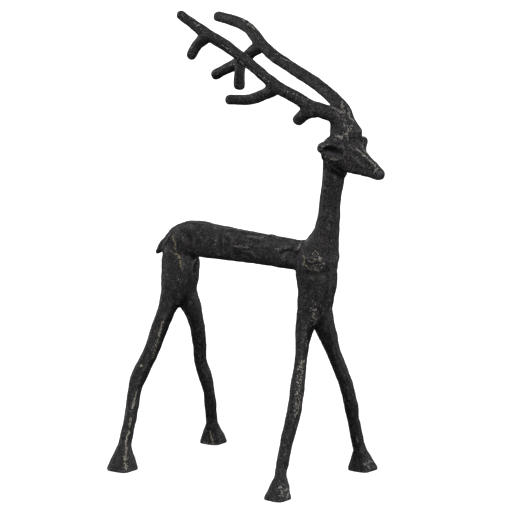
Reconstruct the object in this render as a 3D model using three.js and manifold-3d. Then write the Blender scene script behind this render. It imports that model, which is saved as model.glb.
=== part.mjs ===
// A cast iron stag ornament: a long-legged, hand-modelled figure cast in one piece.
// It stands on four flared hooves, with a square beam of a body, two legs forked from each end of it,
// a straight neck, a wedge-shaped head turned a little to its right, two cupped ears and two swept-back
// antlers.
// Millimetres, +Z up, +X the way the stag faces, +Y its left side. The soles lie on Z = 0.
import * as THREE from "three";
import { mergeVertices } from "three/addons/utils/BufferGeometryUtils.js";
import Module from "manifold-3d";

const wasm = await Module();
wasm.setup();

// Driving dimensions.
const FORK_HEIGHT = 158; // where each pair of legs parts
const FORK_SPREAD = 9; // from the middle plane to a leg's centre line at the fork
const BEAM_HEIGHT = 228; // the middle of the body's beam
const HAUNCH_AT = -80; // how far forward the hind legs' post stands
const SHOULDER_AT = 88; // how far forward the fore legs' post stands
const HEAD_TURN = -0.12; // radians, towards the stag's right
const HEAD_PIVOT = new THREE.Vector3(116, 0, 330);
// The middle of the figure's bounding box, measured from the middle of its four hooves.
const BOX_MIDDLE = new THREE.Vector2(28.3, 1);

const SQUARE = 3.2; // roundness of the legs, body and neck: 2 is an ellipse, higher is squarer
const SOFT = 2.8; // roundness of the neck
const ROUND = 2.3; // roundness of the antlers
const ANTLER_FLAT = 0.94; // an antler's width for each unit of its depth
const BLUNT_RISES = [0.5, 0.85, 1]; // how far up a blunt end its last outlines lie
const BLUNT_FULLNESS = 0.8; // under 1 is fuller than half an ellipse
const BLUNT_CAP = 0.25; // the last outline's share of the end's full size
const WELD = 1e-4; // points closer than this are one

// Finish.
const blackIron = new THREE.MeshStandardMaterial({ color: 0x2a2829, roughness: 0.62, metalness: 0.85 });

// One step along a limb: the centre of its section, and half its size upright (or fore and aft) and sideways.
function station(x, y, z, deep, wide, roundness = SQUARE, lean = 0) {
  return { at: new THREE.Vector3(x, y, z), size: new THREE.Vector3(deep, wide, roundness), lean };
}

// A closed outline of the given number of sides round a centre. Lean narrows the side that deepAxis
// points to.
function outline(centre, deepAxis, wideAxis, size, lean, sides) {
  const squared = (share) => Math.sign(share) * Math.abs(share) ** (2 / size.z);
  const ring = [];
  for (let i = 0; i < sides; i++) {
    const turn = (2 * Math.PI * (i + 0.5)) / sides;
    const deep = squared(Math.cos(turn));
    const wide = squared(Math.sin(turn)) * (1 - lean * deep);
    const point = centre.clone().addScaledVector(deepAxis, deep * size.x);
    ring.push(point.addScaledVector(wideAxis, wide * size.y));
  }
  return ring;
}

// A closed solid drawn over a row of outlines, with a fan at each end.
function skin(rings) {
  const sides = rings[0].length;
  const points = rings.flat();
  const faces = [];
  for (let row = 0; row + 1 < rings.length; row++) {
    for (let i = 0; i < sides; i++) {
      const a = row * sides + i;
      const b = row * sides + ((i + 1) % sides);
      faces.push(a, b, b + sides, a, b + sides, a + sides);
    }
  }
  const last = (rings.length - 1) * sides;
  const middle = (ring) => ring.reduce((sum, p) => sum.add(p), new THREE.Vector3()).divideScalar(sides);
  points.push(middle(rings[0]), middle(rings.at(-1)));
  for (let i = 0; i < sides; i++) {
    const next = (i + 1) % sides;
    faces.push(next, i, points.length - 2, last + i, last + next, points.length - 1);
  }
  const geometry = new THREE.BufferGeometry().setFromPoints(points);
  geometry.setIndex(faces);
  return solid(geometry);
}

// A geometry as a solid with its faces outwards.
function solid(geometry) {
  const merged = mergeVertices(geometry, WELD);
  const vertProperties = merged.attributes.position.array;
  const triVerts = new Uint32Array(merged.index.array);
  const make = () => new wasm.Manifold(new wasm.Mesh({ numProp: 3, vertProperties, triVerts }));
  const first = make();
  if (first.volume() > 0) return first;
  for (let i = 0; i < triVerts.length; i += 3) {
    [triVerts[i + 1], triVerts[i + 2]] = [triVerts[i + 2], triVerts[i + 1]];
  }
  return make();
}

// Smooth lines through the places and the sizes of a row of stations.
function lines(stations) {
  return {
    line: new THREE.CatmullRomCurve3(stations.map((s) => s.at), false, "centripetal"),
    sizes: new THREE.CatmullRomCurve3(stations.map((s) => s.size), false, "catmullrom", 0.5),
  };
}

// Outlines square to a smooth line through the stations, kept level with the stag's width. A blunt end is
// that many millimetres long.
function limb(stations, { sides = 12, steps = 3, blunt = 0, sideways = new THREE.Vector3(0, 1, 0) } = {}) {
  const { line, sizes } = lines(stations);
  const spans = stations.length - 1;
  const frame = (t) => {
    const along = line.getTangent(t);
    const wideAxis = sideways.clone().addScaledVector(along, -sideways.dot(along)).normalize();
    return { along, wideAxis, deepAxis: new THREE.Vector3().crossVectors(along, wideAxis) };
  };
  const rings = [];
  for (let i = 0; i <= spans * steps; i++) {
    const t = i / (spans * steps);
    const { wideAxis, deepAxis } = frame(t);
    const span = Math.min(spans - 1, Math.floor(i / steps));
    const lean = THREE.MathUtils.lerp(stations[span].lean, stations[span + 1].lean, i / steps - span);
    rings.push(outline(line.getPoint(t), deepAxis, wideAxis, sizes.getPoint(t), lean, sides));
  }
  // A blunt end swells out past the last station and closes over it.
  const { along, wideAxis, deepAxis } = frame(1);
  const tip = stations[spans];
  for (const rise of blunt ? BLUNT_RISES : []) {
    const shrink = Math.max(BLUNT_CAP, Math.sqrt(1 - rise * rise) ** BLUNT_FULLNESS);
    const centre = tip.at.clone().addScaledVector(along, blunt * rise);
    const size = tip.size.clone().multiply(new THREE.Vector3(shrink, shrink, 1));
    rings.push(outline(centre, deepAxis, wideAxis, size, tip.lean, sides));
  }
  return skin(rings);
}

// Level outlines one above the other.
function post(stations, sides = 16, steps = 2) {
  const { line, sizes } = lines(stations);
  const forward = new THREE.Vector3(1, 0, 0);
  const sideways = new THREE.Vector3(0, 1, 0);
  const count = (stations.length - 1) * steps;
  const rings = [];
  for (let i = 0; i <= count; i++) {
    const t = i / count;
    rings.push(outline(line.getPoint(t), forward, sideways, sizes.getPoint(t), 0, sides));
  }
  return skin(rings);
}

function joined(solids) {
  return solids.reduce((all, next) => all.add(next));
}

// The body: a level beam, its rump rounded down behind. Each row gives a place along it, how far its
// middle lies above the beam's height, and its half depth and half width.
function body() {
  const rows = [
    [-94, -19, 10, 8],
    [-89, -12, 13.5, 11],
    [-80, -4.5, 16.2, 13],
    [-66, 1, 17.7, 13.5],
    [-42, 0.5, 17, 12.8],
    [-5, -0.5, 15.8, 12.5],
    [35, -2, 14.6, 12.5],
    [65, -2.5, 14.4, 12.5],
    [90, -4, 14, 12.5],
  ];
  const stations = rows.map(([x, rise, deep, wide]) => station(x, 0, BEAM_HEIGHT + rise, deep, wide));
  return limb(stations, { sides: 20, steps: 2 });
}

// The tail: a short flap that slants down off the rump. Its rows are like the body's, with a place across.
function tail() {
  const rows = [
    [-88, 1, 1, 5, 7],
    [-100.2, 2, -7, 4.2, 6.5],
    [-108, 3, -14.8, 3.2, 4.8],
    [-112.8, 3, -19.4, 2, 2.4],
  ];
  const stations = rows.map(([x, y, rise, deep, wide]) => station(x, y, BEAM_HEIGHT + rise, deep, wide));
  return limb(stations, { sides: 8, steps: 2, blunt: 1 });
}

// The haunch: the post under the rump that the hind legs fork from. Each row gives a height above the
// fork, how far ahead of the post's place its middle lies, and its half depth and half width.
function haunch() {
  const rows = [
    [79, 3, 9, 8],
    [64, 0.5, 15.5, 12.5],
    [48, 0, 19, 14],
    [34, -0.5, 18.6, 14.5],
    [22, -2, 17.6, 15.2],
    [12, -2.5, 15, 15],
    [3, -2, 8, 12],
  ];
  const place = ([rise, ahead, ...size]) => station(HAUNCH_AT + ahead, 0, FORK_HEIGHT + rise, ...size);
  return post(rows.map(place));
}

// The shoulder and neck: one post from the fork of the fore legs up into the head. Its rows are like the
// haunch's, with a roundness where it isn't square.
function shoulderAndNeck() {
  const rows = [
    [168, 21, 11, 8],
    [152, 20.4, 10.8, 9.2, SOFT],
    [134, 17.8, 9.9, 9.2, SOFT],
    [114, 15.2, 10, 9.8, SOFT],
    [99, 12.4, 11, 10.6],
    [88, 8, 14.4, 12.8],
    [78, 4, 17.6, 15],
    [64, 1.8, 18.8, 16],
    [48, 0.4, 19.3, 15.8],
    [32, 0.6, 17.2, 15.4],
    [20, -1.5, 16, 15.4],
    [9, -2, 13, 14.5],
    [2, -2, 8, 12],
  ];
  const place = ([rise, ahead, ...size]) => station(SHOULDER_AT + ahead, 0, FORK_HEIGHT + rise, ...size);
  return post(rows.map(place));
}

// A leg: each bend gives its height, how far forward it is, and its half thickness. The spread is straight.
function leg(side, hoof, bends) {
  const spread = (z) => THREE.MathUtils.lerp(FORK_SPREAD, Math.abs(hoof.y), (FORK_HEIGHT - z) / FORK_HEIGHT);
  const stations = bends.map(([z, x, half]) => station(x, side * spread(z), z, half, half));
  return limb(stations, { sides: 12, steps: 2 });
}

// A hoof: a flared bell with a flat sole on the ground. The ankle is the leg's place at its top. Each row
// gives a height, how far the middle has moved from ankle to sole, its share of the size, and its roundness.
function hoof(sole, ankle, size) {
  const rows = [
    [28, 0, 0.37, 2.6],
    [22, 0.15, 0.5, 2.8],
    [14.5, 0.5, 0.7, 3],
    [7, 0.85, 0.89, 3.4],
    [2, 1, 1, 3.8],
    [0, 1, 0.98, 3.8],
  ];
  const stations = rows.map(([z, share, wide, roundness]) => {
    const at = ankle.clone().lerp(sole, share);
    return station(at.x, at.y, z, wide * size, wide * size, roundness);
  });
  return post(stations, 16, 1);
}

// The four legs. Each has the bends that its maker gave it: height, place fore and aft, half thickness.
const LEGS = {
  nearHind: {
    side: -1,
    sole: new THREE.Vector2(-98.8, -71.5),
    ankle: new THREE.Vector2(-103, -63),
    size: 13.4,
    bends: [
      [188, -84, 12],
      [172, -86.8, 11.8],
      [156, -90, 8.6],
      [133, -94.3, 7.5],
      [109, -98.7, 7.3],
      [92, -104.2, 7.4],
      [79, -107, 6.6],
      [62, -105.2, 6.0],
      [39, -103.9, 5.8],
      [14, -103, 6.2],
    ],
  },
  farHind: {
    side: 1,
    sole: new THREE.Vector2(-97, 74.5),
    ankle: new THREE.Vector2(-92.8, 66),
    size: 12.4,
    bends: [
      [188, -78, 12],
      [172, -77, 11],
      [154, -73.8, 8.5],
      [134, -74.2, 7],
      [112, -78.1, 6.4],
      [96, -83.1, 6.3],
      [80, -82.6, 6.2],
      [62, -82.8, 5.7],
      [40, -87.8, 5.5],
      [14, -93.5, 6],
    ],
  },
  nearFore: {
    side: -1,
    sole: new THREE.Vector2(94.5, -71),
    ankle: new THREE.Vector2(92.6, -62),
    size: 11.4,
    bends: [
      [188, 86, 12],
      [172, 83.2, 11.8],
      [154, 81.2, 8],
      [132, 84.8, 5.6],
      [112, 87, 6.0],
      [90, 89.9, 6.6],
      [70, 90.8, 6],
      [46, 89.8, 5.7],
      [14, 92.8, 5.6],
    ],
  },
  farFore: {
    side: 1,
    sole: new THREE.Vector2(92.6, 74),
    ankle: new THREE.Vector2(95, 65),
    size: 12.8,
    bends: [
      [188, 90, 12],
      [172, 90, 11],
      [152, 92, 8.6],
      [126, 94.5, 6.6],
      [102, 98.4, 6.5],
      [84, 99.6, 6.5],
      [60, 97.6, 5.6],
      [36, 95.9, 5.7],
      [14, 95.4, 6.2],
    ],
  },
};

function legAndHoof({ side, sole, ankle, size, bends }) {
  return leg(side, sole, bends).add(hoof(sole, ankle, size));
}

// A station of the head, facing forwards, from a place ahead of the pivot, a height above it, a half depth
// and a half width, a roundness, and how much narrower the top is.
function onHead([ahead, rise, ...form]) {
  return station(HEAD_PIVOT.x + ahead, 0, HEAD_PIVOT.z + rise, ...form);
}

// The skull, and the muzzle, which is a wedge with a narrow bridge.
function skull() {
  const rows = [
    [-17, -2, 9, 8, 2.4],
    [-9, 1, 16, 11.5, 2.5],
    [2, 1.5, 18, 12.5, 2.7, 0.1],
    [12, 0, 18, 12, 2.8, 0.25],
    [22, -4.6, 14, 10, 2.9, 0.35],
    [32, -8.4, 10.6, 8, 3, 0.35],
    [43, -12, 7.6, 6.5, 3, 0.3],
    [50.5, -15, 5.5, 5.4, 2.7, 0.15],
  ];
  return limb(rows.map(onHead), { sides: 20, steps: 2, blunt: 4 });
}

// The crest between the ears, which carries both antlers.
function crest() {
  const rows = [
    [4, -2, 14, 9, 2.5],
    [6.2, 15, 16.4, 12, 2.5],
    [7.4, 24, 16.4, 12, 2.5],
    [4, 31, 12.8, 11, 2.4],
    [2, 39, 8.5, 9, 2.4],
  ];
  return post(rows.map(onHead));
}

// An ear: a leaf that stands out sideways and back, with a hollow cupped into its front. Its root spreads
// from the crest down to the jaw. Each row gives a share of its reach, and its half height, half thickness
// and lift there.
const EAR = {
  root: new THREE.Vector3(9, 8, 6.6), // ahead of, beside and above the head's pivot
  reach: new THREE.Vector3(-6, 25.8, 2.5),
  rows: [
    [0, 17, 6.4, -3],
    [0.32, 14.6, 6.2, -3.4],
    [0.55, 12, 5.4, -3],
    [0.75, 8.2, 4.2, -0.6],
    [0.98, 4.2, 2.4, 0],
  ],
  faces: 0.45, // sideways for each unit forwards
  hollowAt: 0.52, // a share of the reach
  hollowOut: 6, // from the leaf's middle to the hollow's
  hollow: [10.5, 6.2, 4.6], // half length, half height and half depth
};

function ear(side) {
  const mirrored = (v) => new THREE.Vector3(v.x, side * v.y, v.z);
  const root = mirrored(EAR.root).add(HEAD_PIVOT);
  const reach = mirrored(EAR.reach);
  const fore = mirrored(new THREE.Vector3(1, EAR.faces, 0)).normalize();
  const stations = EAR.rows.map(([share, deep, wide, lift]) => {
    const at = root.clone().addScaledVector(reach, share);
    return station(at.x, at.y, at.z + lift, deep, wide, ROUND);
  });
  const leaf = limb(stations, { sides: 12, steps: 2, blunt: 1.8, sideways: fore });
  const along = reach.clone().normalize();
  const upright = new THREE.Vector3().crossVectors(along, fore).normalize();
  const out = new THREE.Vector3().crossVectors(upright, along).normalize();
  if (out.dot(fore) < 0) out.negate();
  const axes = [along, upright, out].map((axis, i) => axis.clone().multiplyScalar(EAR.hollow[i]));
  const centre = root.clone().addScaledVector(reach, EAR.hollowAt).addScaledVector(out, EAR.hollowOut);
  const scoop = new THREE.SphereGeometry(1, 16, 10);
  scoop.deleteAttribute("normal");
  scoop.deleteAttribute("uv");
  scoop.applyMatrix4(new THREE.Matrix4().makeBasis(...axes).setPosition(centre));
  return leaf.subtract(solid(scoop));
}

function head() {
  return joined([skull(), crest(), ear(-1), ear(1)]);
}

// An antler is a beam with tines. Each row gives a point's place and its half thickness.
function branch(rows, blunt = 4) {
  const stations = rows.map(([x, y, z, half]) => station(x, y, z, half, half * ANTLER_FLAT, ROUND));
  return limb(stations, { sides: 10, steps: 2, blunt });
}

function rightAntler() {
  const beam = branch([
    [121, -3, 357, 9],
    [115, -5, 366.5, 8.5],
    [102, -6.3, 369.8, 7.4],
    [85, -7.5, 374, 6.7],
    [73, -9, 380, 6.3],
    [49, -11.9, 390.4, 6.1],
    [17, -15.5, 412.3, 5.6],
    [-15, -17.5, 429.8, 5.9],
    [-29, -18.4, 435.5, 6],
    [-42, -19.3, 442.4, 5.5],
    [-62, -20.9, 453.7, 4.9],
  ]);
  const browTine = branch([
    [92, -7.6, 370.6, 7.4],
    [84, -8, 368.6, 7],
    [77.3, -8.2, 364.4, 6.2],
    [71.6, -9, 358.8, 5.9],
  ]);
  const midTine = branch([
    [50, -11.9, 389.5, 6.3],
    [41, -13, 385, 6.3],
    [33, -14.2, 381, 5.9],
    [20, -16.6, 376.2, 5.5],
    [7, -19, 375, 5.4],
    [-1.5, -20.6, 374.7, 5.2],
  ]);
  const endTine = branch([
    [-29, -18.3, 436, 7],
    [-42.6, -19.6, 426, 5.5],
    [-48.2, -22, 415, 5],
  ]);
  return joined([beam, browTine, midTine, endTine]);
}

function leftAntler() {
  const beam = branch([
    [121.4, 3, 357, 8.6],
    [117.2, 5, 368.6, 7.8],
    [108.6, 7.4, 375.8, 6.9],
    [92.8, 11.2, 385.8, 6.3],
    [70.6, 15.1, 395.2, 6.2],
    [21.2, 23.4, 414, 5.9],
    [5, 26.1, 423, 6.2],
    [-15, 30, 438, 6],
    [-30, 32.7, 443.7, 5.9],
    [-61, 37, 448, 5.3],
  ]);
  const lowerBranch = branch([
    [3, 26.5, 425, 6.4],
    [-4, 28, 421, 6.5],
    [-13, 29.9, 416.3, 5.7],
    [-30.7, 33.7, 404.8, 5.9],
    [-50, 37.6, 396.9, 5.6],
    [-67, 41.6, 389, 5.4],
  ]);
  const dropTine = branch([
    [-29.4, 33.6, 407, 6.4],
    [-29.9, 31.7, 393.1, 5.6],
    [-29, 30.6, 381.4, 5.6],
  ]);
  return joined([beam, lowerBranch, dropTine]);
}

// Turns a solid about the upright line through the head's pivot.
function turned(part, angle) {
  const around = new THREE.Matrix4()
    .makeTranslation(HEAD_PIVOT.x, HEAD_PIVOT.y, 0)
    .multiply(new THREE.Matrix4().makeRotationZ(angle))
    .multiply(new THREE.Matrix4().makeTranslation(-HEAD_PIVOT.x, -HEAD_PIVOT.y, 0));
  return part.transform(around.elements);
}

// The whole casting as one mesh.
function stag() {
  const trunk = [body(), tail(), haunch(), shoulderAndNeck()];
  const crown = [turned(head(), HEAD_TURN), rightAntler(), leftAntler()];
  const legs = Object.values(LEGS).map(legAndHoof);
  const cast = joined([...trunk, ...crown, ...legs]).getMesh();
  const geometry = new THREE.BufferGeometry();
  geometry.setAttribute("position", new THREE.BufferAttribute(cast.vertProperties.slice(), 3));
  geometry.setIndex(new THREE.BufferAttribute(cast.triVerts.slice(), 1));
  const mesh = new THREE.Mesh(geometry, blackIron);
  mesh.name = "stag";
  mesh.position.set(-BOX_MIDDLE.x, -BOX_MIDDLE.y, 0);
  return mesh;
}

const root = new THREE.Group();
root.add(stag());

export default root;
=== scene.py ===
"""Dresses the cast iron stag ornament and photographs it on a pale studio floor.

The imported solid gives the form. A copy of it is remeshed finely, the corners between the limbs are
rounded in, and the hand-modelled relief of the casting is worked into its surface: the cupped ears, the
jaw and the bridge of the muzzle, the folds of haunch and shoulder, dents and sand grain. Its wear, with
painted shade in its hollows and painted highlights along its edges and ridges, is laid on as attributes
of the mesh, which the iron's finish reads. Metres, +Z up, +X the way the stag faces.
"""

import logging
import math
from dataclasses import dataclass, field
from enum import Enum

import bpy
import numpy as np
from mathutils import Matrix, Vector
from mathutils.bvhtree import BVHTree


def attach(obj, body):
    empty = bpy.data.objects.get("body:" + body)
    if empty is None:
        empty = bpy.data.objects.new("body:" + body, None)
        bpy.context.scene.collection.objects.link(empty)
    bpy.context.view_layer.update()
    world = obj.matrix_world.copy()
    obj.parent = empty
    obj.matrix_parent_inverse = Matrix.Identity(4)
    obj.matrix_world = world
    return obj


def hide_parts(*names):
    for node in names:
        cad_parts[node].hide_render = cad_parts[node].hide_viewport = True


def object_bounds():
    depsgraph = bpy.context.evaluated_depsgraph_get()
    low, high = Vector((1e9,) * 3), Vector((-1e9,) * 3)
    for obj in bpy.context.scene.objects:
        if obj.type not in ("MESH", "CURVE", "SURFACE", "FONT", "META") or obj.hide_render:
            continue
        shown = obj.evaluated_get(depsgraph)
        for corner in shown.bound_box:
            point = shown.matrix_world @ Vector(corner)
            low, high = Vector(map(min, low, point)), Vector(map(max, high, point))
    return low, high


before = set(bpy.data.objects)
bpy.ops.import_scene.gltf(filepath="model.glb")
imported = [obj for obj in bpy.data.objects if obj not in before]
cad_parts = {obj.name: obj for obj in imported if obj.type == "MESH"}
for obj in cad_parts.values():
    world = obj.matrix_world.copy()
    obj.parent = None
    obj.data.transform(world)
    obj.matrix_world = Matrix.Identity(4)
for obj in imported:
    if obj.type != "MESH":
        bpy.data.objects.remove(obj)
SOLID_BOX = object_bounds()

MM = 0.001
MIX_SHARE, MIX_FIRST, MIX_SECOND, MIX_RESULT = 0, 6, 7, 2  # a colour Mix node's sockets
log = logging.getLogger("stag")

Trail = tuple[tuple[float, float], ...]


class Side(Enum):
    """Which flanks of the casting a piece of relief or wear is worked into."""

    NEAR = "near"
    BOTH = "both"


class Push(Enum):
    """The way a stroke moves the surface."""

    PROUD = 1.0
    SUNK = -1.0


class Socket:
    """A shader socket that takes part in Python sums, which become Math nodes."""

    def __init__(self, bench: "Bench", link: bpy.types.NodeSocket) -> None:
        """Wraps a socket.

        Args:
            bench: The material's bench, which makes the nodes.
            link: The output socket that holds the value.
        """
        self.bench = bench
        self.link = link

    def _math(self, operation: str, *values: "Socket | float", clamp: bool = False) -> "Socket":
        """Adds a Math node on the given values."""
        settings = {"operation": operation, "use_clamp": clamp}
        return self.bench.node("ShaderNodeMath", settings, dict(enumerate(values)))

    def __add__(self, other: "Socket | float") -> "Socket":
        """The sum."""
        return self._math("ADD", self, other)

    def __radd__(self, other: float) -> "Socket":
        """The sum, with the number first."""
        return self._math("ADD", other, self)

    def __sub__(self, other: "Socket | float") -> "Socket":
        """The difference."""
        return self._math("SUBTRACT", self, other)

    def __rsub__(self, other: float) -> "Socket":
        """The difference, with the number first."""
        return self._math("SUBTRACT", other, self)

    def __mul__(self, other: "Socket | float") -> "Socket":
        """The product."""
        return self._math("MULTIPLY", self, other)

    def __rmul__(self, other: float) -> "Socket":
        """The product, with the number first."""
        return self._math("MULTIPLY", other, self)

    def clamped(self) -> "Socket":
        """The value held between 0 and 1."""
        return self._math("ADD", self, 0.0, clamp=True)

    def step(self, low: float, high: float) -> "Socket":
        """A smooth step.

        Args:
            low: The value that becomes 0.
            high: The value that becomes 1.

        Returns:
            The stepped value.
        """
        settings = {"interpolation_type": "SMOOTHSTEP"}
        return self.bench.node("ShaderNodeMapRange", settings, {0: self, 1: low, 2: high})


class Bench:
    """Where one material's nodes are put together."""

    def __init__(self, name: str) -> None:
        """Makes an empty material.

        Args:
            name: The material's name.
        """
        self.material = bpy.data.materials.new(name)
        self.material.use_nodes = True
        self.tree = self.material.node_tree
        self.tree.nodes.clear()

    def node(self, kind: str, settings: dict, values: dict, output: int | str = 0) -> Socket:
        """Adds a node.

        Args:
            kind: The node's type.
            settings: Its own settings, set before its sockets are.
            values: A number, colour or Socket for each input, by its index or name.
            output: The output that is wanted.

        Returns:
            That output.
        """
        made = self.tree.nodes.new(kind)
        for key, value in settings.items():
            setattr(made, key, value)
        for key, value in values.items():
            if isinstance(value, Socket):
                self.tree.links.new(value.link, made.inputs[key])
            else:
                made.inputs[key].default_value = value
        return Socket(self, made.outputs[output])

    def mix(self, share: Socket | float, first: Socket | tuple, second: Socket | tuple) -> Socket:
        """Mixes two colours.

        Args:
            share: How much of the second, from 0 to 1.
            first: A colour.
            second: Another colour.

        Returns:
            The mixed colour.
        """
        settings = {"data_type": "RGBA", "clamp_factor": True}
        values = {MIX_SHARE: share, MIX_FIRST: first, MIX_SECOND: second}
        return self.node("ShaderNodeMix", settings, values, MIX_RESULT)

    def attribute(self, name: str) -> Socket:
        """The value of one of the mesh's own attributes."""
        return self.node("ShaderNodeAttribute", {"attribute_name": name}, {}, "Fac")

    def grain(
        self, size: float, detail: float = 2.0, rough: float = 0.5, shift: float = 0.0, draw: float = 1.0
    ) -> Socket:
        """A soft noise over the object.

        Args:
            size: How far apart its blotches lie, in metres.
            detail: How many finer noises lie over it.
            rough: How strong those are.
            shift: Moves it, so that two noises of one size differ.
            draw: How many times longer its blotches are upwards than across.

        Returns:
            The noise, from 0 to 1 about 0.5.
        """
        place = self.node("ShaderNodeTexCoord", {}, {}, "Object")
        spread = {"Vector": place, "Location": (shift, 2 * shift, -shift), "Scale": (1, 1, 1 / draw)}
        moved = self.node("ShaderNodeMapping", {}, spread)
        values = {"Vector": moved, "Scale": 1.0 / size, "Detail": detail, "Roughness": rough}
        return self.node("ShaderNodeTexNoise", {"noise_dimensions": "3D"}, values, "Fac")

    def finish(self, values: dict) -> bpy.types.Material:
        """Ends the material with one Principled shader.

        Args:
            values: A number, colour or Socket for each of its inputs.

        Returns:
            The material.
        """
        surface = self.node("ShaderNodeBsdfPrincipled", {}, values, "BSDF")
        output = self.tree.nodes.new("ShaderNodeOutputMaterial")
        self.tree.links.new(surface.link, output.inputs["Surface"])
        return self.material


@dataclass(frozen=True)
class BlackIron:
    """The casting's finish: black, satin where it is rubbed, rubbed pale and golden in places, with a
    painted highlight on its raised edges and ridges and painted shade in its hollows.

    It reads what StagCasting.wear() leaves on the mesh: edge, hollow, grime, leg, scratch, olive and gilt,
    each from 0 to 1. Edge lightens the raised edges, as rubbing and as a painted highlight; hollow and
    grime darken as painted shade; scratch holds scratched metal lines and painted highlights along ridges.
    The lengths are how far apart the blotches, mottles, specks and grains of sand lie, and how high the
    finest grit stands. The pairs are where a soft noise starts to be umber, greenish, sooty, dusty, flecked
    or scratched with metal and painted highlight, and where it is so in full.
    """

    charcoal: tuple[float, float, float, float] = (0.0120, 0.0109, 0.0123, 1)
    umber: tuple[float, float, float, float] = (0.0150, 0.0121, 0.0136, 1)
    olive: tuple[float, float, float, float] = (0.0115, 0.0138, 0.0080, 1)
    # the sooty black of low specks, and also the painted shade of hollows and creases
    soot_and_shade: tuple[float, float, float, float] = (0.0025, 0.0024, 0.0026, 1)
    # the rubbed pale of edges and dust, and also a painted highlight on raised edges
    pale_wear_and_highlight: tuple[float, float, float, float] = (0.057, 0.052, 0.058, 1)
    # the metal of scratched lines and flecks, and also the painted highlight along ridges and edges
    bare_metal_and_highlight: tuple[float, float, float, float] = (0.31, 0.30, 0.27, 1)
    gilt: tuple[float, float, float, float] = (0.32, 0.27, 0.17, 1)
    blotch: float = 14 * MM
    mottle: float = 3.2 * MM
    sand: float = 0.9 * MM
    speck: float = 1.4 * MM
    grit: float = 0.9 * MM
    satin: float = 0.46
    reddish: tuple[float, float] = (0.35, 0.68)
    greenish: tuple[float, float] = (0.52, 0.72)
    sooty: tuple[float, float] = (0.42, 0.49)
    dusty: tuple[float, float] = (0.51, 0.59)
    flecked: tuple[float, float] = (0.72, 0.78)
    scored_and_highlit: tuple[float, float] = (0.65, 0.74)

    def material(self) -> bpy.types.Material:
        """Makes the finish.

        Returns:
            The material.
        """
        bench = Bench("black_iron")
        blotches = bench.grain(self.blotch, 2.0)
        mottles = bench.grain(self.mottle, 2.0, shift=3.0)
        sand = bench.grain(self.sand, 3.0, 0.6)
        specks = bench.grain(self.speck, 0.5, 0.65, shift=7.0)
        streaks = bench.grain(self.speck, 1.0, 0.6, shift=5.0, draw=4.0)
        edge, hollow, painted_shade, leg, scratch_and_highlight, olive, gilt = (
            bench.attribute(name)
            for name in ("edge", "hollow", "painted_shade", "leg", "scratch_and_highlight", "olive", "gilt")
        )

        # black iron that leans to umber here and to olive there
        colour = bench.mix(blotches.step(*self.reddish), self.charcoal, self.umber)
        greenish = bench.grain(2 * self.blotch, 1.0, shift=11.0).step(*self.greenish) * 0.55
        colour = bench.mix(greenish, colour, self.olive)

        # sandy specks, drawn out along the legs: the low ones are sooty, the high ones dusty
        tone = 0.05 * mottles + 0.6 * specks + 0.35 * sand
        tone = tone + leg * (streaks - tone) * 0.35 - leg * 0.012
        # painted shade: the hollows and the marked creases and shadows turn sooty black, and the legs are
        # darker overall
        dark = hollow * 0.85 + painted_shade + leg * 0.2
        colour = bench.mix(dark + (1.0 - tone.step(*self.sooty)), colour, self.soot_and_shade)
        # the raised edges are rubbed pale, and the same pale is a painted highlight on them
        rubbed_and_highlit = edge.step(0.25, 1.0) * (0.25 + 0.65 * mottles.step(0.38, 0.6))
        dusted = tone.step(*self.dusty) * (1.0 - painted_shade)
        colour = bench.mix((rubbed_and_highlit + dusted).clamped(), colour, self.pale_wear_and_highlight)
        colour = bench.mix(olive * 0.7, colour, self.olive)

        # flecks and broken scratched lines that show the metal, and pale painted highlights along ridges
        # and edges
        fleck = (edge * 0.1 + specks).step(*self.flecked) * 0.5
        broken = 0.65 * specks + 0.35 * mottles
        scored_and_highlit = (scratch_and_highlight * 0.3 + broken).step(*self.scored_and_highlit) * scratch_and_highlight.step(0.05, 0.3)
        lit = (fleck * 0.6 + scored_and_highlit).clamped()
        colour = bench.mix(lit, colour, bench.mix(gilt, self.bare_metal_and_highlight, self.gilt))

        # satin where it is rubbed, dull in the hollows and where it is seen aslant
        rough = self.satin - 0.14 * rubbed_and_highlit + 0.14 * (sand - 0.5) + 0.1 * hollow - 0.1 * lit
        aslant = bench.node("ShaderNodeLayerWeight", {}, {"Blend": 0.5}, "Facing").step(0.35, 0.8)
        relief = sand + mottles * 0.8 + specks * 1.1 - lit * 0.25
        grit = {"Strength": 0.9, "Distance": self.grit, "Height": relief}
        return bench.finish(
            {
                "Base Color": colour,
                "Roughness": rough + 0.45 * aslant,
                "Metallic": lit * 0.6,
                "Normal": bench.node("ShaderNodeBump", {}, grit),
                "Specular IOR Level": 0.4,
            }
        )


@dataclass(frozen=True)
class PalePaper:
    """The studio floor's finish: plain matt white paper that glows a little, so that it stays white."""

    white: tuple[float, float, float, float] = (0.86, 0.86, 0.86, 1)
    cream: tuple[float, float, float, float] = (0.84, 0.84, 0.845, 1)
    tooth: float = 4 * MM
    glow: float = 0.9

    def material(self) -> bpy.types.Material:
        """Makes the finish.

        Returns:
            The material.
        """
        bench = Bench("pale_paper")
        tooth = bench.grain(self.tooth, 1.0)
        colour = bench.mix(tooth, self.white, self.cream)
        return bench.finish(
            {
                "Base Color": colour,
                "Roughness": 0.85 + 0.1 * tooth,
                "Specular IOR Level": 0.1,
                "Emission Color": colour,
                "Emission Strength": self.glow,
            }
        )


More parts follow.
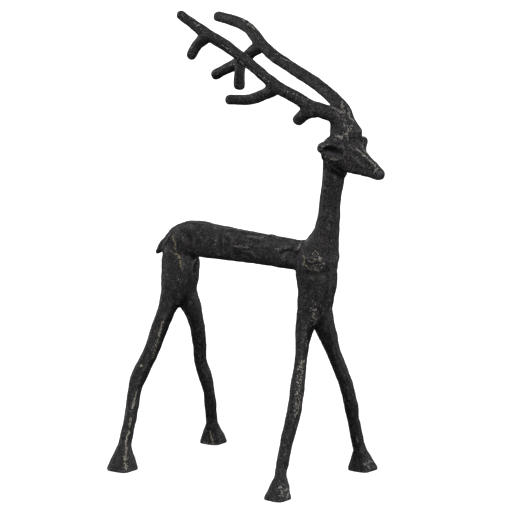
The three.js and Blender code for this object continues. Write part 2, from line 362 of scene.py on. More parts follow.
@dataclass(frozen=True)
class Sightline:
    """Where the photograph was taken from.

    Places on the casting's near side are given as they are seen from there: millimetres to the right and
    up, from the middle of the four hooves, in the upright picture plane through that middle.

    Attributes:
        azimuth: How far round from the stag's right side towards its front.
        elevation: How far above the floor.
        distance: Metres from the picture's middle.
        feet: The middle of the four hooves.
        feet_right: How far that lies to the right of the picture's middle.
        feet_up: How far it lies above it.
        picture: How wide the picture is, at the distance given.
        sensor: The camera's sensor width in millimetres.
    """

    azimuth: float = math.radians(37.1)
    elevation: float = math.radians(10.1)
    distance: float = 3.0
    feet: tuple[float, float, float] = (-28.3 * MM, -1.0 * MM, 0.0)
    feet_right: float = -10.2 * MM
    feet_up: float = -215.7 * MM
    picture: float = 509 * MM
    sensor: float = 36.0

    @property
    def right(self) -> Vector:
        """The direction to the picture's right."""
        return Vector((math.cos(self.azimuth), math.sin(self.azimuth), 0.0))

    @property
    def back(self) -> Vector:
        """The direction out of the picture, towards the camera."""
        level = math.cos(self.elevation)
        side = Vector((math.sin(self.azimuth) * level, -math.cos(self.azimuth) * level, 0.0))
        return side + Vector((0.0, 0.0, math.sin(self.elevation)))

    @property
    def up(self) -> Vector:
        """The direction to the picture's top."""
        return self.back.cross(self.right)

    @property
    def eye(self) -> Vector:
        """Where the camera stands."""
        middle = Vector(self.feet) - self.right * self.feet_right - self.up * self.feet_up
        return middle + self.back * self.distance

    def towards(self, across: float, rise: float) -> Vector:
        """The direction of a line of sight.

        Args:
            across: Millimetres to the right of the hooves' middle.
            rise: Millimetres above it in the picture.

        Returns:
            The direction from the eye.
        """
        place = Vector(self.feet) + self.right * (across * MM) + self.up * (rise * MM)
        return (place - self.eye).normalized()

    def camera(self) -> bpy.types.Object:
        """Makes the camera.

        Returns:
            The camera's object.
        """
        bpy.ops.object.camera_add(location=self.eye)
        camera = bpy.context.object
        camera.name = "photograph"
        turn = Matrix((self.right, self.up, self.back)).transposed()
        camera.rotation_euler = turn.to_euler()
        camera.data.sensor_width = self.sensor
        camera.data.lens = self.sensor * self.distance / self.picture
        camera.data.clip_start = 0.05
        camera.data.clip_end = 60.0
        bpy.context.scene.camera = camera
        return camera


@dataclass(frozen=True)
class Stroke:
    """One pull of the modelling tool, as it is seen from the photograph's place.

    Attributes:
        name: What it models.
        trail: Its path.
        width: How far it reaches to each side, in millimetres.
        height: How far it moves the surface, in millimetres.
        push: Which way.
        side: Which flanks it is worked into.
    """

    name: str
    trail: Trail
    width: float
    height: float
    push: Push = Push.PROUD
    side: Side = Side.NEAR


@dataclass(frozen=True)
class Wear:
    """A rubbed or stained trail, as it is seen from the photograph's place.

    Attributes:
        trail: Its path.
        width: How far it reaches to each side, in millimetres.
        strength: How strong it is, from 0 to 1.
        gold: How golden its metal is, from 0 to 1.
        side: Which flanks it is laid on.
    """

    trail: Trail
    width: float
    strength: float = 1.0
    gold: float = 0.0
    side: Side = Side.NEAR


class Clay:
    """The casting's mesh while it is worked: its points, normals and neighbours as arrays."""

    def __init__(self, piece: bpy.types.Object) -> None:
        """Reads the mesh.

        Args:
            piece: The object that is worked.
        """
        self.piece = piece
        self.count = len(piece.data.vertices)
        self.points = self._read(piece.data.vertices, "co")
        self.normals = self._read(piece.data.vertices, "normal")
        edges = np.empty(2 * len(piece.data.edges), np.int32)
        piece.data.edges.foreach_get("vertices", edges)
        self.ends = edges.reshape(-1, 2)
        self.degree = np.bincount(self.ends.ravel(), minlength=self.count)[:, None]

    def _read(self, source: bpy.types.bpy_prop_collection, key: str) -> np.ndarray:
        """Reads one vector of each point."""
        flat = np.empty(3 * self.count, np.float32)
        source.foreach_get(key, flat)
        return flat.reshape(-1, 3).astype(float)

    def write(self) -> None:
        """Writes the points back and takes new normals."""
        self.piece.data.vertices.foreach_set("co", self.points.astype(np.float32).ravel())
        self.piece.data.update()
        self.normals = self._read(self.piece.data.vertices, "normal")

    def blur(self, values: np.ndarray, rounds: int = 1) -> np.ndarray:
        """Averages values over the neighbours.

        Args:
            values: One row for each point.
            rounds: How often.

        Returns:
            The smoothed values.
        """
        values = values.reshape(self.count, -1)
        first, second = self.ends.T
        for _ in range(rounds):
            total = np.empty_like(values)
            for axis in range(values.shape[1]):
                total[:, axis] = np.bincount(first, values[second, axis], self.count)
                total[:, axis] += np.bincount(second, values[first, axis], self.count)
            values = total / self.degree
        return values

    def bulge(self, rounds: int) -> np.ndarray:
        """How far each point stands out of its smoothed surroundings, in metres."""
        smooth = self.blur(self.points, rounds)
        return ((self.points - smooth) * self.normals).sum(1)

    def attribute(self, name: str, values: np.ndarray) -> None:
        """Keeps one number for each point on the mesh."""
        layer = self.piece.data.attributes.new(name, "FLOAT", "POINT")
        layer.data.foreach_set("value", values.astype(np.float32).ravel())


def eased(share: np.ndarray) -> np.ndarray:
    """A smooth fall from 1 at 0 to 0 at 1 and beyond."""
    return (1.0 - np.clip(share, 0.0, 1.0) ** 2) ** 2


def ramp(values: np.ndarray, start: float, span: float) -> np.ndarray:
    """A straight rise from 0 at the start to 1 a span later.

    Args:
        values: The values.
        start: The value that becomes 0.
        span: How much more than that becomes 1.

    Returns:
        The risen values.
    """
    return np.clip((values - start) / span, 0.0, 1.0)


@dataclass(frozen=True)
class Ripple:
    """An unevenness of the whole surface.

    Attributes:
        name: Its name.
        size: How far apart its swells lie.
        height: How far they stand from its hollows.
    """

    name: str
    size: float
    height: float


@dataclass
class StagCasting:
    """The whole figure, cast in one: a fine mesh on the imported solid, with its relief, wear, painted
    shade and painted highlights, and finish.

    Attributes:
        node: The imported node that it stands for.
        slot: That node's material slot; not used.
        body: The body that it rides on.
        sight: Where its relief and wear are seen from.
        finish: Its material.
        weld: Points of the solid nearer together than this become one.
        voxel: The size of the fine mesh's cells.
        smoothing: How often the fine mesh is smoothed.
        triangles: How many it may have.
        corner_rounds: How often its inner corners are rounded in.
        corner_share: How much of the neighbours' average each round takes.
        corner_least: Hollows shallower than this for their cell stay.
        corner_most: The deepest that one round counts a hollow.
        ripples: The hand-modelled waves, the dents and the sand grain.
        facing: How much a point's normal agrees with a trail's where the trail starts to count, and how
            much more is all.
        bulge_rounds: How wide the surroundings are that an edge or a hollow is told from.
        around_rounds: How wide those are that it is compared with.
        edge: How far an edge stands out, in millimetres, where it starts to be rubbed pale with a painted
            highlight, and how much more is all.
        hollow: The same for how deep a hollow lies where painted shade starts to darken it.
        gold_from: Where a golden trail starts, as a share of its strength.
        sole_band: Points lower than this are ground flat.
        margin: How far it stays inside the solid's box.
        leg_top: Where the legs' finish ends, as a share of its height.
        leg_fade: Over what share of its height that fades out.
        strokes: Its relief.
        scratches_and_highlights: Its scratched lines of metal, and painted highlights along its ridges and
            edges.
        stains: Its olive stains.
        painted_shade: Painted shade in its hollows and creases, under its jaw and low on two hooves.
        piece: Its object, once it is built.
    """

    node: str = "stag"
    slot: str = "iron"
    body: str = "root"
    sight: Sightline = field(default_factory=Sightline)
    finish: BlackIron = field(default_factory=BlackIron)
    weld: float = 0.001 * MM
    voxel: float = 0.95 * MM
    smoothing: int = 6
    triangles: int = 196000
    corner_rounds: int = 100
    corner_share: float = 0.5
    corner_least: float = 0.004 * MM
    corner_most: float = 0.3 * MM
    ripples: tuple[Ripple, ...] = (
        Ripple("waves", 19 * MM, 2.2 * MM),
        Ripple("dents", 9.0 * MM, 1.0 * MM),
        Ripple("sand", 2.2 * MM, 0.4 * MM),
    )
    facing: tuple[float, float] = (-0.1, 0.6)
    bulge_rounds: int = 8
    around_rounds: int = 50
    edge: tuple[float, float] = (0.02, 0.1)
    hollow: tuple[float, float] = (0.04, 0.12)
    gold_from: float = 0.02
    sole_band: float = 0.8 * MM
    margin: float = 0.02 * MM
    leg_top: float = 0.42
    leg_fade: float = 0.06
    strokes: tuple[Stroke, ...] = ()
    scratches_and_highlights: tuple[Wear, ...] = ()
    stains: tuple[Wear, ...] = ()
    painted_shade: tuple[Wear, ...] = ()
    piece: bpy.types.Object | None = None

    def build(self) -> bpy.types.Object:
        """Builds and dresses the casting.

        Returns:
            Its object.
        """
        self.piece = self.rough_out()
        self.round_in()
        self.work_surface()
        self.work_strokes()
        self.wear()
        self.thin_out()
        self.stand()
        self.dress()
        return self.piece

    def rough_out(self) -> bpy.types.Object:
        """Copies the solid's mesh and remeshes it finely.

        Returns:
            The new object.
        """
        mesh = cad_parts[self.node].data.copy()
        piece = bpy.data.objects.new("stag_casting", mesh)
        bpy.context.scene.collection.objects.link(piece)
        bpy.ops.object.select_all(action="DESELECT")
        piece.select_set(True)
        bpy.context.view_layer.objects.active = piece
        mesh.materials.clear()
        bpy.ops.object.mode_set(mode="EDIT")
        bpy.ops.mesh.select_all(action="SELECT")
        bpy.ops.mesh.remove_doubles(threshold=self.weld)
        bpy.ops.object.mode_set(mode="OBJECT")
        self.apply(piece, "REMESH", mode="VOXEL", voxel_size=self.voxel, use_smooth_shade=True)
        self.apply(piece, "SMOOTH", factor=0.5, iterations=self.smoothing)
        log.info("remeshed: %d points", len(piece.data.vertices))
        return piece

    @staticmethod
    def apply(piece: bpy.types.Object, kind: str, **settings: object) -> None:
        """Adds a modifier and applies it.

        Args:
            piece: The object, which is the active one.
            kind: The modifier's type.
            **settings: Its settings.
        """
        modifier = piece.modifiers.new(kind.lower(), kind)
        for key, value in settings.items():
            setattr(modifier, key, value)
        bpy.ops.object.modifier_apply(modifier=modifier.name)

    def round_in(self) -> None:
        """Fills the sharp inner corners where limbs meet, as a modeller's thumb does."""
        clay = Clay(self.piece)
        for _ in range(self.corner_rounds):
            step = clay.blur(clay.points) - clay.points
            out = (step * clay.normals).sum(1)
            out = np.clip(out - self.corner_least, 0.0, self.corner_most)
            clay.points += self.corner_share * out[:, None] * clay.normals
            clay.write()

    def work_surface(self) -> None:
        """Works hand-modelled waves, dents and sand grain into the whole surface."""
        for ripple in self.ripples:
            texture = bpy.data.textures.new(ripple.name, "CLOUDS")
            texture.noise_scale = ripple.size
            texture.noise_depth = 1
            texture.noise_basis = "ORIGINAL_PERLIN"
            settings = {"texture": texture, "texture_coords": "LOCAL", "mid_level": 0.5}
            self.apply(self.piece, "DISPLACE", strength=ripple.height, **settings)
            bpy.data.textures.remove(texture)

    def hits(self, tree: BVHTree, trail: Trail, side: Side) -> list[tuple[np.ndarray, np.ndarray]]:
        """Lays a trail on the surface.

        Args:
            tree: The surface.
            trail: Its points as they are seen from the photograph's place.
            side: Whether it is also laid on the far side, mirrored in the stag's middle plane.

        Returns:
            For each side, the points and the surface's normals there.
        """
        places, normals = [], []
        for (across, rise), (next_across, next_rise) in zip(trail, trail[1:] + trail[-1:]):
            length = math.hypot(next_across - across, next_rise - rise)
            steps = max(1, round(length))
            for i in range(steps):
                share = i / steps
                aim = self.sight.towards(
                    across + share * (next_across - across), rise + share * (next_rise - rise)
                )
                place, normal, _, _ = tree.ray_cast(self.sight.eye, aim)
                if place is not None:
                    places.append(place)
                    normals.append(normal)
        if not places:
            log.warning("a trail misses the casting: %s", trail)
            return []
        laid = [(np.array(places), np.array(normals))]
        if side is Side.BOTH:
            middle = self.sight.feet[1]
            found = [tree.find_nearest(Vector((p.x, 2 * middle - p.y, p.z))) for p in places]
            laid.append((np.array([f[0] for f in found]), np.array([f[1] for f in found])))
        return laid

    def nearness(
        self, clay: Clay, places: np.ndarray, normals: np.ndarray, width: float
    ) -> tuple[np.ndarray, np.ndarray]:
        """How close each point of the surface is to a trail, on the trail's own side.

        Args:
            clay: The surface.
            places: The trail's points.
            normals: The surface's normals at them.
            width: How far the trail reaches to each side, in metres.

        Returns:
            The points in reach, and a share from 0 at the trail's border to 1 on the trail.
        """
        low = places.min(0) - width
        high = places.max(0) + width
        near = np.flatnonzero(((clay.points > low) & (clay.points < high)).all(1))
        gaps = np.linalg.norm(clay.points[near, None, :] - places[None, :, :], axis=2)
        closest = gaps.argmin(1)
        share = eased(gaps[np.arange(len(near)), closest] / width)
        facing = (clay.normals[near] * normals[closest]).sum(1)
        return near, share * ramp(facing, *self.facing)

    def tree(self) -> BVHTree:
        """The surface as it is now, for laying trails on."""
        return BVHTree.FromObject(self.piece, bpy.context.evaluated_depsgraph_get())

    def work_strokes(self) -> None:
        """Works the modelled features into the surface, one after another."""
        tree = self.tree()
        clay = Clay(self.piece)
        for stroke in self.strokes:
            for places, normals in self.hits(tree, stroke.trail, stroke.side):
                near, share = self.nearness(clay, places, normals, stroke.width * MM)
                out = normals.mean(0)
                out /= np.linalg.norm(out)
                way = out if stroke.push is Push.SUNK else clay.normals[near]
                clay.points[near] += (stroke.push.value * stroke.height * MM * share)[:, None] * way
            clay.write()

    def thin_out(self) -> None:
        """Takes points out where the surface is even, down to the number of triangles allowed."""
        corners = sum(len(face.vertices) - 2 for face in self.piece.data.polygons)
        if corners > self.triangles:
            self.apply(self.piece, "DECIMATE", ratio=self.triangles / corners)
        log.info("thinned: %d triangles", sum(len(f.vertices) - 2 for f in self.piece.data.polygons))

    def stand(self) -> None:
        """Grinds the soles flat on the floor and keeps the whole casting inside the solid's box."""
        clay = Clay(self.piece)
        clay.points[clay.points[:, 2] < self.sole_band, 2] = 0.0
        low = np.array(SOLID_BOX[0]) + self.margin
        high = np.array(SOLID_BOX[1]) - self.margin
        low[2] = 0.0
        clay.points = np.clip(clay.points, low, high)
        clay.write()

    def wear(self) -> None:
        """Marks the raised edges, rubbed pale with a painted highlight, the painted shade of the hollows
        and marked creases, the scratched lines and painted highlights along ridges, the olive stains and
        the legs.
        """
        clay = Clay(self.piece)
        bulge = clay.blur(clay.bulge(self.bulge_rounds), 2)[:, 0] / MM
        around = clay.blur(bulge, self.around_rounds)[:, 0]
        # raised edges are rubbed pale with a painted highlight; hollows get painted shade
        clay.attribute("edge", ramp(bulge - around, *self.edge))
        clay.attribute("hollow", ramp(around - bulge, *self.hollow))
        tree = self.tree()
        gold = np.zeros(clay.count)
        # scratched lines with painted highlights, olive stains, and the painted shade of marked creases and
        # shadows
        for name, marks in (("scratch_and_highlight", self.scratches_and_highlights), ("olive", self.stains), ("painted_shade", self.painted_shade)):
            total = np.zeros(clay.count)
            for mark in marks:
                for places, normals in self.hits(tree, mark.trail, mark.side):
                    near, share = self.nearness(clay, places, normals, mark.width * MM)
                    total[near] = np.maximum(total[near], mark.strength * share)
                    gold[near] = np.maximum(gold[near], mark.gold * (share > self.gold_from))
            clay.attribute(name, total)
        clay.attribute("gilt", gold)
        height = clay.points[:, 2] / SOLID_BOX[1].z
        clay.attribute("leg", ramp(self.leg_top - height, 0.0, self.leg_fade))

    def dress(self) -> None:
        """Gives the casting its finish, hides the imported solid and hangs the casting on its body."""
        self.piece.data.materials.append(self.finish.material())
        bpy.ops.object.select_all(action="DESELECT")
        self.piece.select_set(True)
        bpy.context.view_layer.objects.active = self.piece
        bpy.ops.object.shade_smooth()
        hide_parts(self.node)
        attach(self.piece, self.body)


RELIEF: tuple[Stroke, ...] = (
    # the head
    Stroke("ear floor", ((84, 317.5), (90, 316), (95, 315.5)), 5.0, 1.4, Push.SUNK, Side.BOTH),
    Stroke(
        "ear hollow",
        ((82, 321.4), (87, 320.8), (92, 319.4), (95.5, 318)), 3.6, 3.8, Push.SUNK, Side.BOTH,
    ),
    Stroke("end of the ear hollow", ((92, 318.4), (96.4, 317.2)), 3.8, 2.6, Push.SUNK, Side.BOTH),
    Stroke("ear's upper rim", ((78, 323.6), (85, 325.6), (92, 325), (99, 322.4)), 2.4, 0.8),
    Stroke("ear's lower rim", ((85, 311.8), (92.5, 310.4)), 2.0, 0.7),
    Stroke(
        "jaw's edge",
        ((81, 308.5), (86.5, 304.8), (96, 298.4), (103, 296.6)), 2.2, 1.2, Push.PROUD, Side.BOTH,
    ),
    Stroke("neck under the jaw", ((82, 303), (90, 298.5), (96, 293.5)), 3.6, 0.6, Push.SUNK, Side.BOTH),
    Stroke("throat", ((100, 295.5), (103, 296.4)), 4.5, 1.8),
    Stroke("bridge's near edge", ((112, 321.5), (117.5, 317), (124.5, 310.8), (131, 305.2)), 2.0, 1.2),
    Stroke("cheek below the bridge", ((111, 317), (117, 311), (124, 305)), 3.6, 1.0, Push.SUNK),
    Stroke("valley on the bridge", ((115, 321), (121, 315.5), (130, 307)), 1.6, 0.8, Push.SUNK),
    Stroke("brow", ((98, 326), (106, 323), (113, 316.5)), 2.4, 0.5),
    Stroke("nose crease", ((130, 297.6), (132.5, 301.2), (136.5, 301.8)), 1.5, 0.9, Push.SUNK),
    Stroke("nose pad", ((134.5, 297), (136.5, 296)), 4.2, 0.7),
    Stroke(
        "mouth",
        ((107, 303.6), (114, 303.2), (122, 300.8), (128, 298)), 1.5, 0.45, Push.SUNK, Side.BOTH,
    ),
    # the hip and the haunch
    Stroke(
        "hip groove",
        ((-57, 237), (-56, 230), (-54.5, 221), (-55, 212)), 8.5, 1.1, Push.SUNK, Side.BOTH,
    ),
    Stroke("hip ridge", ((-67, 236), (-66, 222), (-64, 205), (-63, 190)), 8.0, 0.6, Push.PROUD, Side.BOTH),
    Stroke("inner corner fold", ((-45.5, 212), (-46.5, 207), (-47, 201)), 2.4, 1.1),
    Stroke("corner dent", ((-50, 205), (-50, 198)), 2.6, 0.9, Push.SUNK),
    Stroke("haunch crack", ((-82, 181), (-74, 180.2), (-66, 178.4), (-61, 179)), 1.4, 0.5, Push.SUNK),
    # the shoulder and the breast
    Stroke("shoulder's edge", ((61, 231), (55.5, 225), (51, 218.5)), 2.6, 1.3, Push.PROUD, Side.BOTH),
    Stroke("beam under the edge", ((56, 232), (50, 226), (46, 219)), 3.4, 0.8, Push.SUNK, Side.BOTH),
    Stroke("shoulder crease", ((36, 219), (42, 220.6), (48, 219)), 3.2, 1.0, Push.SUNK, Side.BOTH),
    Stroke("smeared thumb on the beam", ((40, 210), (47, 209)), 7.0, 1.2),
    Stroke(
        "arc over the thumb",
        ((36, 216.3), (41, 219.7), (48, 218.9), (52.5, 216.2)), 1.9, 1.6, Push.SUNK,
    ),
    Stroke("shoulder pad", ((64, 213), (73, 212), (80, 210)), 7.5, 1.2, Push.PROUD, Side.BOTH),
    Stroke("under the pad", ((62, 197), (72, 196), (80, 197)), 4.0, 0.9, Push.SUNK, Side.BOTH),
    Stroke("breast cleft", ((76, 160), (77.5, 152), (78, 146)), 2.6, 0.9, Push.SUNK),
    # the rump and the beam
    Stroke("rump's rim over the tail", ((-82.6, 221.2), (-80, 226), (-72.3, 238.8)), 1.8, 0.7),
    Stroke("socket in the hip", ((-57.5, 233.5), (-55, 229.5)), 5.0, 1.2, Push.SUNK),
    Stroke("dent behind the hip", ((-42, 238), (-40, 235)), 5.5, 1.2, Push.SUNK),
    Stroke("valley in the beam", ((-23.7, 234), (-24, 219)), 4.0, 1.0, Push.SUNK),
    Stroke("ridge in the beam", ((-16, 236), (-10, 230), (-14, 222)), 3.6, 0.8),
    Stroke("line on the beam", ((-12.4, 224.3), (3.7, 222.7)), 1.8, 0.8),
    Stroke("hollow in the beam", ((-7, 215), (6, 212)), 7.0, 1.3, Push.SUNK),
    Stroke("arc round the hollow", ((-2, 219), (7, 217.5), (12, 212)), 2.2, 0.7),
    Stroke("long fold on the beam", ((3.7, 234), (16, 232), (28, 235), (36, 231)), 2.6, 1.0),
    Stroke("under the long fold", ((6, 229.5), (17, 227.5), (27, 229.5)), 4.0, 1.0, Push.SUNK),
    Stroke("beam's upper edge", ((-40, 243), (-5, 240), (30, 234), (58, 229.5)), 5.0, 0.6),
)

# scratched lines of metal, and pale painted highlights along ridges and edges
SCRATCHES_AND_HIGHLIGHTS: tuple[Wear, ...] = (
    # the hip's squiggle, the rump and the beam
    Wear(((-71.5, 233.5), (-70, 229), (-68.5, 226)), 2.7, 1.0, gold=0.9, side=Side.BOTH),
    Wear(((-72, 223.5), (-68.5, 222)), 2.0, 0.85, gold=0.6),
    Wear(((-73.5, 219), (-66.5, 215.5), (-64, 211.4), (-63.4, 201.7)), 1.9, 0.95, gold=0.9, side=Side.BOTH),
    Wear(((-65.7, 196.9), (-65.2, 196)), 1.8, 0.85),
    Wear(((-66.3, 193), (-64.8, 188.5)), 1.6, 0.6, gold=0.8, side=Side.BOTH),
    Wear(((-77.3, 195.6), (-77.0, 194.4)), 2.2, 0.8),
    # painted highlights along the rump's rim and an arc of the hip
    Wear(((-82.6, 221.2), (-80, 226), (-72.3, 238.8)), 1.5, 0.6, side=Side.BOTH),
    Wear(((-56.8, 221), (-52, 218.7)), 1.6, 0.7, gold=0.4),
    Wear(((-48.7, 211), (-46, 206.5)), 2.0, 0.85, side=Side.BOTH),
    Wear(((-28.6, 230), (-29.8, 225.2)), 1.6, 1.0),
    Wear(((-12.4, 224.3), (3.7, 222.7)), 1.4, 0.85, side=Side.BOTH),
    # a painted highlight along the beam's long fold
    Wear(((3.7, 234), (16, 232), (28, 235), (36, 231)), 1.8, 0.5),
    Wear(((31, 221.1), (42.4, 221.9)), 1.6, 0.7, side=Side.BOTH),
    # the shoulder and the breast
    # a painted highlight along the shoulder's edge
    Wear(((65.0, 231.4), (57.0, 226.4), (52.0, 219.0)), 1.6, 0.9, side=Side.BOTH),
    Wear(((58.6, 217.3), (60.4, 210.9), (59.5, 206.4), (61.8, 203.5), (68.2, 200.7)), 1.8, 0.9, gold=0.7),
    Wear(((68.2, 200.7), (75.9, 199.1)), 1.6, 0.75, gold=0.5, side=Side.BOTH),
    Wear(((62.2, 208.2), (65.9, 214.1), (71.3, 219.1)), 1.6, 0.8, gold=0.2),
    Wear(((72.2, 218.2), (74.5, 214.6), (76.8, 209.1), (80.4, 206.4)), 1.8, 0.95, gold=0.2, side=Side.BOTH),
    Wear(((63.2, 209.1), (68.6, 208.2), (72.2, 210.0), (76.8, 208.2)), 1.6, 0.8),
    Wear(((70.4, 216.8), (69.5, 209.1)), 1.5, 0.65, side=Side.BOTH),
    Wear(((75.9, 206.4), (77.7, 202.7)), 1.8, 0.8),
    Wear(((60.4, 205.5), (65.9, 203.7)), 2.2, 0.75, gold=0.8, side=Side.BOTH),
    Wear(((50.4, 205.9), (59.5, 205.9)), 1.4, 0.65),
    Wear(((76.2, 211.8), (76.0, 210.8)), 2.2, 1.0, side=Side.BOTH),
    Wear(((63.2, 209.4), (63.0, 208.6)), 2.0, 1.0),
    Wear(((70.0, 211.0), (70.0, 205.0)), 8.0, 0.4, gold=0.2, side=Side.BOTH),
    Wear(((67.2, 162.7), (70.0, 157.0), (69.0, 152.7)), 2.6, 0.75),
    Wear(((75.9, 164.6), (80.4, 160.9), (77.0, 155.0)), 2.0, 0.7, side=Side.BOTH),
    Wear(((70.0, 168.0), (69.0, 146.0)), 6.0, 0.45),
    Wear(((85.0, 171.0), (86.3, 166.4)), 1.4, 0.7, side=Side.BOTH),
    Wear(((85.4, 239.0), (87.7, 231.8), (85.4, 222.7)), 1.6, 0.5),
    # the fore legs and their hooves
    Wear(((62.7, 129), (61.6, 123.6)), 1.8, 0.85, side=Side.BOTH),
    Wear(((60.1, 109.3), (56.6, 105.8), (58.3, 98.6), (55.7, 89.7), (57.5, 82.6)), 2.2, 0.85, gold=0.2),
    Wear(((53, 76.5), (53.4, 74.2)), 2.6, 0.95, gold=0.2, side=Side.BOTH),
    Wear(((55.7, 66.5), (52.1, 55.8)), 2.2, 0.8, gold=0.2),
    Wear(((48.5, 95.2), (46.7, 89.7)), 1.6, 0.7, side=Side.BOTH),
    Wear(((56, 108), (55, 82), (51.7, 55.2)), 6.0, 0.5),
    Wear(((44.1, -22.8), (43.2, -28.2)), 2.2, 0.85, side=Side.BOTH),
    Wear(((35.7, -16), (37.7, -25)), 7.0, 0.45),
    Wear(((100.3, 71.0), (100.3, 69.4)), 1.8, 0.7, side=Side.BOTH),
    Wear(((113, 30.6), (113.3, 27.2)), 2.0, 0.75),
    Wear(((120.7, 6.2), (127.7, 9.2)), 3.4, 0.6, side=Side.BOTH),
    # the hind legs and their hooves
    Wear(((-81.4, 148.2), (-86.7, 130.2), (-92.1, 112.3)), 2.4, 0.68, gold=0.3),
    Wear(((-102.8, 106.0), (-102.9, 104.0)), 2.4, 0.85, gold=0.6, side=Side.BOTH),
    Wear(((-107.3, 80.2), (-109.9, 69.5), (-111.7, 62.3)), 1.9, 0.9, gold=0.2),
    Wear(((-113.5, 52.5), (-114.4, 44.5)), 2.3, 0.85, gold=0.2, side=Side.BOTH),
    Wear(((-115.3, 39.2), (-118.9, 28.4), (-118, 19.5), (-119.8, 8.8), (-118, 0.6)), 2.0, 0.95, gold=0.3),
    Wear(((-118.5, 24), (-119, 2)), 5.0, 0.55, side=Side.BOTH),
    Wear(((-33.5, 39.2), (-33.2, 33.8), (-31, 26.6)), 1.9, 1.0, gold=0.4),
    Wear(((-42.1, 28.4), (-33.2, 26.3)), 1.4, 0.7, side=Side.BOTH),
    Wear(((-61.7, 162.3), (-55.4, 152.2), (-51, 139.2)), 1.5, 0.6),
    # the head: pale marks on the crest, and painted highlights along the ear's rims, the jaw and the bridge
    Wear(((86.5, 363.5), (92, 361), (99.5, 357)), 2.2, 1.0),
    Wear(((97.7, 369), (98.5, 361), (101, 358)), 2.8, 0.85),
    Wear(((104.3, 358.8), (105.7, 352.3), (110, 349.5)), 2.8, 0.95),
    Wear(((90, 334.5), (94, 333.5), (98, 333)), 2.6, 0.95),
    Wear(((100, 336), (104, 338), (107, 341), (108, 344)), 2.4, 0.9),
    Wear(((103.5, 338), (103, 331.5)), 2.2, 0.9),
    Wear(((97, 352), (106, 340)), 7.0, 0.38),
    Wear(((78, 323.6), (85, 325.6), (92, 325.0)), 1.6, 0.6),
    Wear(((76, 322), (77.5, 318), (80.5, 313.5)), 1.6, 0.6),
    Wear(((86.5, 311.4), (92.5, 310)), 1.9, 0.9),
    Wear(((118, 323), (119.5, 331)), 1.6, 0.9),
    Wear(((80.7, 308), (86, 304.8), (95, 298.6), (102.5, 296.8)), 1.6, 0.7),
    Wear(((112, 321.5), (117.5, 317), (124.5, 310.8), (131.4, 305)), 2.1, 0.95),
    Wear(((118, 322), (124, 315.5), (135, 304.5)), 1.9, 0.85),
    Wear(((130, 298), (132.7, 301.6), (137, 302)), 1.9, 0.95),
    # the antlers: painted highlights along their edges
    Wear(((-21.5, 425.6), (-11.7, 417.2), (-1.1, 405.9)), 1.6, 0.8),
    Wear(((-5.6, 420.2), (9.5, 411.2)), 1.5, 0.65),
    Wear(((0.4, 405.2), (24.7, 388.4)), 1.7, 0.65),
    Wear(((-54.1, 452.2), (-45, 444.5)), 2.6, 0.65),
    Wear(((-49.6, 427.8), (-55.6, 415.7)), 1.6, 0.55),
    Wear(((-1.1, 449.8), (12.5, 440)), 2.2, 0.85),
    Wear(((30.7, 415.7), (48.9, 406.6)), 1.7, 0.75),
    Wear(((-31.4, 393), (-19.3, 403.6), (-7.1, 407.4)), 1.6, 0.7),
    Wear(((41.3, 379.4), (71.7, 367.2)), 1.6, 0.6),
    Wear(((-62.2, 454.6), (-61.2, 453.8)), 1.8, 0.9),
)

# the olive patch under the shoulder pad
STAINS: tuple[Wear, ...] = (Wear(((63, 198.5), (72, 195.5), (80, 197.5)), 6.0, 0.9),)

# painted shade: the ear hollows, the jaw's shadow on the neck, creases and dents, and the lowest part of
# two hooves
PAINTED_SHADE: tuple[Wear, ...] = (
    Wear(((81, 321.4), (87, 320.8), (92, 319.2), (95, 318.2)), 3.4, 1.0, side=Side.BOTH),
    Wear(((92, 319.2), (96.4, 318.2)), 3.6, 1.0, side=Side.BOTH),
    Wear(((82, 303), (90, 298), (96, 292.5)), 4.0, 0.9, side=Side.BOTH),
    Wear(((-48, 205), (-49, 198)), 2.6, 0.9, side=Side.BOTH),
    Wear(((36, 216.3), (41, 219.7), (48, 218.9), (52.5, 216.2)), 1.9, 0.9),
    Wear(((-82, 181), (-74, 180.2), (-66, 178.4), (-61, 179)), 1.5, 0.9, side=Side.BOTH),
    Wear(((115, 321), (121, 315.5), (130, 307)), 1.8, 0.9),
    Wear(((-120, 18), (-120, 0)), 20.0, 0.3),
    Wear(((35, -12), (35, -28)), 20.0, 0.3),
)


@dataclass(frozen=True)
class Sun:
    """One large soft light.

    Attributes:
        name: Its name.
        azimuth: Degrees round the stag, 0 at its right side, 90 in front of it.
        elevation: Degrees above the floor.
        strength: Watts for each square metre.
        softness: Its width in degrees.
    """

    name: str
    azimuth: float
    elevation: float
    strength: float
    softness: float

    def hang(self) -> None:
        """Hangs the light."""
        turn, lift = math.radians(self.azimuth), math.radians(self.elevation)
        place = Vector((math.sin(turn) * math.cos(lift), -math.cos(turn) * math.cos(lift), math.sin(lift)))
        bpy.ops.object.light_add(type="SUN", location=place * 3)
        light = bpy.context.object
        light.name = self.name
        light.rotation_euler = place.to_track_quat("Z", "Y").to_euler()
        light.data.energy = self.strength
        light.data.angle = math.radians(self.softness)


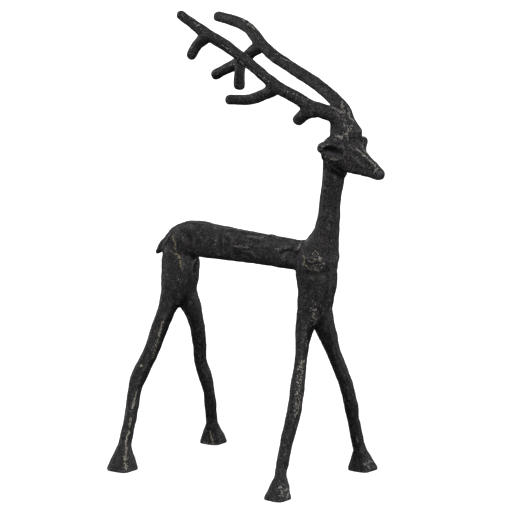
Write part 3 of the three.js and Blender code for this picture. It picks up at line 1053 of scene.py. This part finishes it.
@dataclass
class Studio:
    """A plain pale floor under soft, mostly frontal light.

    Bounced light doesn't see the floor, so it doesn't wash out the black casting's edges.
    """

    floor_half: float = 14.0
    paper: PalePaper = field(default_factory=PalePaper)
    suns: tuple[Sun, ...] = (
        Sun("key", 30.0, 38.0, 1.6, 18.0),
        Sun("fill", 42.0, 8.0, 0.7, 30.0),
        Sun("top", 45.0, 65.0, 0.7, 30.0),
        Sun("front", 165.0, 8.0, 0.8, 30.0),
        Sun("back", 217.0, 10.0, 1.4, 30.0),
        Sun("left", 268.0, 8.0, 0.8, 30.0),
    )
    sky: tuple[float, float, float, float] = (0.05, 0.05, 0.05, 1)
    backdrop: tuple[float, float, float, float] = (1, 1, 1, 1)

    def build(self) -> None:
        """Lays the floor and hangs the lights."""
        bpy.ops.mesh.primitive_plane_add(size=2 * self.floor_half, location=(0, 0, 0))
        floor = bpy.context.object
        floor.name = "studio_floor"
        floor.data.materials.append(self.paper.material())
        floor.visible_diffuse = False
        floor.visible_glossy = False
        for sun in self.suns:
            sun.hang()
        self.surround()

    def surround(self) -> None:
        """Surrounds the studio with a dim even sky before a white backdrop."""
        world = bpy.data.worlds.new("studio")
        world.use_nodes = True
        nodes, links = world.node_tree.nodes, world.node_tree.links
        shade = nodes.new("ShaderNodeMix")
        shade.data_type = "RGBA"
        shade.inputs[MIX_FIRST].default_value = self.sky
        shade.inputs[MIX_SECOND].default_value = self.backdrop
        links.new(nodes.new("ShaderNodeLightPath").outputs["Is Camera Ray"], shade.inputs[MIX_SHARE])
        links.new(shade.outputs[MIX_RESULT], nodes["Background"].inputs["Color"])
        bpy.context.scene.world = world
        bpy.context.scene.view_settings.view_transform = "Standard"


def main() -> None:
    """Builds the casting and the studio."""
    logging.basicConfig(level=logging.INFO, format="%(name)s: %(message)s")
    sight = Sightline()
    sight.camera()
    Studio().build()
    casting = StagCasting(sight=sight, strokes=RELIEF, scratches_and_highlights=SCRATCHES_AND_HIGHLIGHTS, stains=STAINS, painted_shade=PAINTED_SHADE)
    piece = casting.build()
    log.info("%s: %d points", piece.name, len(piece.data.vertices))


if __name__ == "__main__":
    main()
